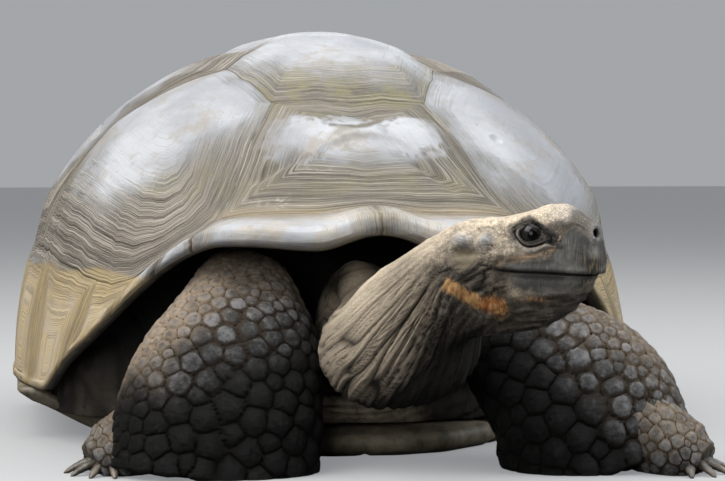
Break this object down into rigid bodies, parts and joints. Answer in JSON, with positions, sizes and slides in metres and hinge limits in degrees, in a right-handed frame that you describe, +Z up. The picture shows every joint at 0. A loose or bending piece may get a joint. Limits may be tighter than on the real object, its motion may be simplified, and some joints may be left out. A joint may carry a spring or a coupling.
{
  "type": "giant tortoise",
  "caption": "Life-size giant tortoise at rest: high domed shell, splayed scaly forelegs, wrinkled neck out and head turned to its left, as a still museum model.",
  "frame": {"origin": "on the floor, on the flat underside of the plastron below the middle of the shell", "axes": "+X to the animal's front, +Y to its left, +Z up"},
  "size_m": [1.453, 0.9446, 0.6012],
  "materials": {
    "shell": "worn horn plates, satin, finely ringed near the seams",
    "belly": "worn horn plates, satin, scuffed and earthy",
    "skin": "dry loose wrinkled reptile skin",
    "scales": "thick horny plate scales with dusty skin between",
    "claw": "smooth dark horn",
    "eye": "wet and glossy"
  },
  "bodies": {
    "root": {"carapace": "shell", "plastron": "belly", "torso": "skin", "neck": "skin", "head": "skin", "eye_left": "eye", "eye_right": "eye", "foreleg_right": "scales", "foreleg_left": "scales", "hindleg_right": "scales", "hindleg_left": "scales", "tail": "scales", "claw_foreleg_right_1": "claw", "claw_foreleg_right_2": "claw", "claw_foreleg_right_3": "claw", "claw_foreleg_right_4": "claw", "claw_foreleg_right_5": "claw", "claw_foreleg_left_1": "claw", "claw_foreleg_left_2": "claw", "claw_foreleg_left_3": "claw", "claw_foreleg_left_4": "claw", "claw_foreleg_left_5": "claw", "claw_hindleg_right_1": "claw", "claw_hindleg_right_2": "claw", "claw_hindleg_right_3": "claw", "claw_hindleg_right_4": "claw", "claw_hindleg_left_1": "claw", "claw_hindleg_left_2": "claw", "claw_hindleg_left_3": "claw", "claw_hindleg_left_4": "claw"}
  },
  "joints": []
}
